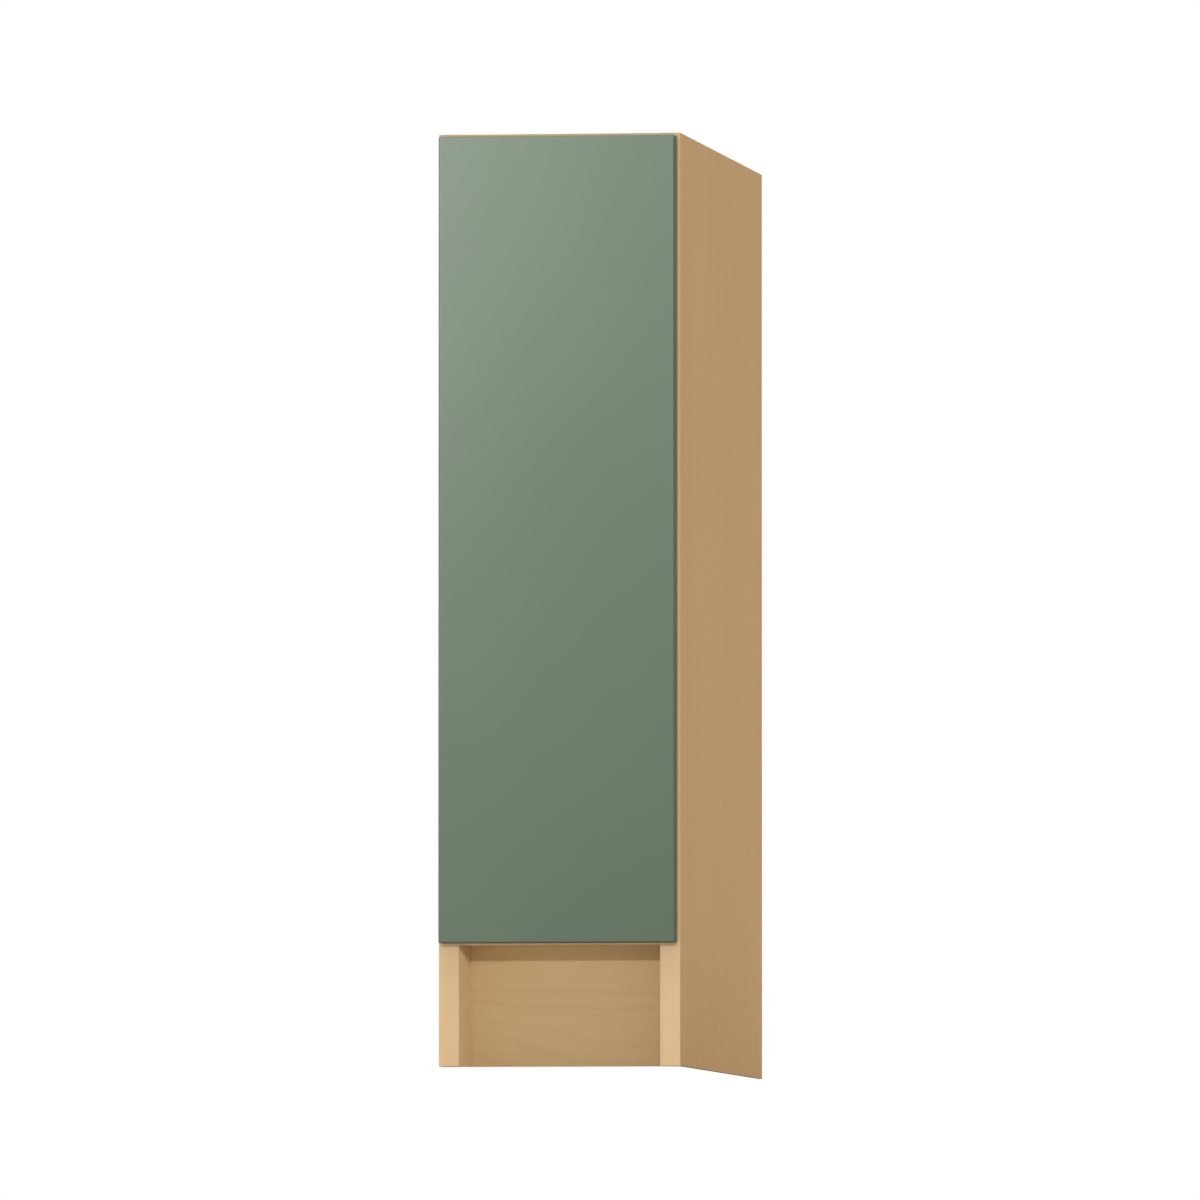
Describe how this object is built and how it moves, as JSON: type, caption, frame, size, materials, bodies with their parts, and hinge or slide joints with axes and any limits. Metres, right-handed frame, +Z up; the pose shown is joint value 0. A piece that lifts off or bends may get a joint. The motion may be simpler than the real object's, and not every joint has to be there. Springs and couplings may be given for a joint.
{
  "type": "spice rack base cabinet",
  "caption": "Narrow floor-standing kitchen base cabinet whose full-height slab front pulls out a wooden spice rack with trays and shelves on ball-bearing slides, over a recessed toe kick.",
  "frame": {"origin": "on the floor, under the middle of the closed cabinet's overall box", "axes": "+Z up, front faces -Y, +X to the right of someone facing the front"},
  "size_m": [0.2286, 0.6116, 0.8763],
  "materials": {
    "carcass_plywood": "clear satin lacquer on plywood",
    "back_plywood": "clear satin lacquer on plywood",
    "edge_band": "satin veneer",
    "front_lacquer": "satin sage green lacquer",
    "rack_maple": "clear satin lacquer",
    "dowel_beech": "raw",
    "cam_zinc": "cast zinc",
    "screw_steel": "zinc plated",
    "rail_steel": "zinc plated",
    "cage_steel": "bright",
    "lever_plastic": "matte",
    "adjuster_plastic": "matte",
    "bumper_silicone": "translucent",
    "pin_nickel": "nickel plated",
    "gallery_chrome": "polished"
  },
  "bodies": {
    "carcass": {"left_side_panel": "carcass_plywood", "right_side_panel": "carcass_plywood", "bottom_panel": "carcass_plywood", "front_stretcher": "carcass_plywood", "rear_stretcher": "carcass_plywood", "wall_nailer": "carcass_plywood", "toe_kick_board": "carcass_plywood", "rear_base_rail": "carcass_plywood", "back_panel": "back_plywood", "left_edge_band": "edge_band", "right_edge_band": "edge_band", "bottom_edge_band": "edge_band", "stretcher_edge_band": "edge_band", "cam_locks": "cam_zinc", "cam_bolts": "screw_steel", "carcass_dowels": "dowel_beech", "rail_screws": "screw_steel", "lower_left_outer_rail": "rail_steel", "lower_right_outer_rail": "rail_steel", "upper_left_outer_rail": "rail_steel", "upper_right_outer_rail": "rail_steel"},
    "pullout": {"door": "front_lacquer", "door_bumpers": "bumper_silicone", "front_adjusters": "adjuster_plastic", "adjuster_screws": "screw_steel", "rack_front_upright": "rack_maple", "rack_rear_upright": "rack_maple", "lower_tray_floor": "rack_maple", "lower_tray_left_side": "rack_maple", "lower_tray_right_side": "rack_maple", "upper_tray_floor": "rack_maple", "upper_tray_left_side": "rack_maple", "upper_tray_right_side": "rack_maple", "rack_screws": "screw_steel", "shelf_pins": "pin_nickel", "rack_rail_screws": "screw_steel", "lower_left_inner_rail": "rail_steel", "lower_right_inner_rail": "rail_steel", "upper_left_inner_rail": "rail_steel", "upper_right_inner_rail": "rail_steel"},
    "lower_left_middle_rail": {"lower_left_middle_rail": "rail_steel"},
    "lower_left_outer_ball_cage": {"lower_left_outer_ball_cage": "cage_steel"},
    "lower_left_inner_ball_cage": {"lower_left_inner_ball_cage": "cage_steel"},
    "lower_right_middle_rail": {"lower_right_middle_rail": "rail_steel"},
    "lower_right_outer_ball_cage": {"lower_right_outer_ball_cage": "cage_steel"},
    "lower_right_inner_ball_cage": {"lower_right_inner_ball_cage": "cage_steel"},
    "upper_left_middle_rail": {"upper_left_middle_rail": "rail_steel"},
    "upper_left_outer_ball_cage": {"upper_left_outer_ball_cage": "cage_steel"},
    "upper_left_inner_ball_cage": {"upper_left_inner_ball_cage": "cage_steel"},
    "upper_right_middle_rail": {"upper_right_middle_rail": "rail_steel"},
    "upper_right_outer_ball_cage": {"upper_right_outer_ball_cage": "cage_steel"},
    "upper_right_inner_ball_cage": {"upper_right_inner_ball_cage": "cage_steel"},
    "lower_left_release_lever": {"lower_left_release_lever": "lever_plastic"},
    "lower_right_release_lever": {"lower_right_release_lever": "lever_plastic"},
    "upper_left_release_lever": {"upper_left_release_lever": "lever_plastic"},
    "upper_right_release_lever": {"upper_right_release_lever": "lever_plastic"},
    "middle_shelf": {"middle_shelf": "rack_maple", "middle_shelf_rails": "gallery_chrome"},
    "top_shelf": {"top_shelf": "rack_maple", "top_shelf_rails": "gallery_chrome"}
  },
  "joints": [
    {"name": "rack_slide", "type": "slide", "parent": "carcass", "child": "pullout", "axis": [0, -1, 0], "range_m": [0, 0.5]},
    {"name": "lower_left_middle_rail_slide", "type": "slide", "parent": "carcass", "child": "lower_left_middle_rail", "axis": [0, -1, 0], "range_m": [0, 0.25]},
    {"name": "lower_left_outer_ball_cage_slide", "type": "slide", "parent": "carcass", "child": "lower_left_outer_ball_cage", "axis": [0, -1, 0], "range_m": [0, 0.125]},
    {"name": "lower_left_inner_ball_cage_slide", "type": "slide", "parent": "carcass", "child": "lower_left_inner_ball_cage", "axis": [0, -1, 0], "range_m": [0, 0.375]},
    {"name": "lower_right_middle_rail_slide", "type": "slide", "parent": "carcass", "child": "lower_right_middle_rail", "axis": [0, -1, 0], "range_m": [0, 0.25]},
    {"name": "lower_right_outer_ball_cage_slide", "type": "slide", "parent": "carcass", "child": "lower_right_outer_ball_cage", "axis": [0, -1, 0], "range_m": [0, 0.125]},
    {"name": "lower_right_inner_ball_cage_slide", "type": "slide", "parent": "carcass", "child": "lower_right_inner_ball_cage", "axis": [0, -1, 0], "range_m": [0, 0.375]},
    {"name": "upper_left_middle_rail_slide", "type": "slide", "parent": "carcass", "child": "upper_left_middle_rail", "axis": [0, -1, 0], "range_m": [0, 0.25]},
    {"name": "upper_left_outer_ball_cage_slide", "type": "slide", "parent": "carcass", "child": "upper_left_outer_ball_cage", "axis": [0, -1, 0], "range_m": [0, 0.125]},
    {"name": "upper_left_inner_ball_cage_slide", "type": "slide", "parent": "carcass", "child": "upper_left_inner_ball_cage", "axis": [0, -1, 0], "range_m": [0, 0.375]},
    {"name": "upper_right_middle_rail_slide", "type": "slide", "parent": "carcass", "child": "upper_right_middle_rail", "axis": [0, -1, 0], "range_m": [0, 0.25]},
    {"name": "upper_right_outer_ball_cage_slide", "type": "slide", "parent": "carcass", "child": "upper_right_outer_ball_cage", "axis": [0, -1, 0], "range_m": [0, 0.125]},
    {"name": "upper_right_inner_ball_cage_slide", "type": "slide", "parent": "carcass", "child": "upper_right_inner_ball_cage", "axis": [0, -1, 0], "range_m": [0, 0.375]},
    {"name": "lower_left_lever_hinge", "type": "hinge", "parent": "pullout", "child": "lower_left_release_lever", "pos_m": [-0.08535, -0.13175, 0.17835], "axis": [1, 0, 0], "range_deg": [-8, 0], "stiffness_Nm_per_rad": 0.02},
    {"name": "lower_right_lever_hinge", "type": "hinge", "parent": "pullout", "child": "lower_right_release_lever", "pos_m": [0.08535, -0.13175, 0.17835], "axis": [1, 0, 0], "range_deg": [-8, 0], "stiffness_Nm_per_rad": 0.02},
    {"name": "upper_left_lever_hinge", "type": "hinge", "parent": "pullout", "child": "upper_left_release_lever", "pos_m": [-0.08535, -0.13175, 0.5293], "axis": [1, 0, 0], "range_deg": [-8, 0], "stiffness_Nm_per_rad": 0.02},
    {"name": "upper_right_lever_hinge", "type": "hinge", "parent": "pullout", "child": "upper_right_release_lever", "pos_m": [0.08535, -0.13175, 0.5293], "axis": [1, 0, 0], "range_deg": [-8, 0], "stiffness_Nm_per_rad": 0.02},
    {"name": "middle_shelf_lift", "type": "slide", "parent": "pullout", "child": "middle_shelf", "axis": [0, 0, 1], "range_m": [0, 0.12]},
    {"name": "top_shelf_lift", "type": "slide", "parent": "pullout", "child": "top_shelf", "axis": [0, 0, 1], "range_m": [0, 0.12]}
  ],
  "couplings": [
    {"joint": "lower_left_middle_rail_slide", "follows": "rack_slide", "ratio": 0.5},
    {"joint": "lower_left_outer_ball_cage_slide", "follows": "rack_slide", "ratio": 0.25},
    {"joint": "lower_left_inner_ball_cage_slide", "follows": "rack_slide", "ratio": 0.75},
    {"joint": "lower_right_middle_rail_slide", "follows": "rack_slide", "ratio": 0.5},
    {"joint": "lower_right_outer_ball_cage_slide", "follows": "rack_slide", "ratio": 0.25},
    {"joint": "lower_right_inner_ball_cage_slide", "follows": "rack_slide", "ratio": 0.75},
    {"joint": "upper_left_middle_rail_slide", "follows": "rack_slide", "ratio": 0.5},
    {"joint": "upper_left_outer_ball_cage_slide", "follows": "rack_slide", "ratio": 0.25},
    {"joint": "upper_left_inner_ball_cage_slide", "follows": "rack_slide", "ratio": 0.75},
    {"joint": "upper_right_middle_rail_slide", "follows": "rack_slide", "ratio": 0.5},
    {"joint": "upper_right_outer_ball_cage_slide", "follows": "rack_slide", "ratio": 0.25},
    {"joint": "upper_right_inner_ball_cage_slide", "follows": "rack_slide", "ratio": 0.75}
  ]
}
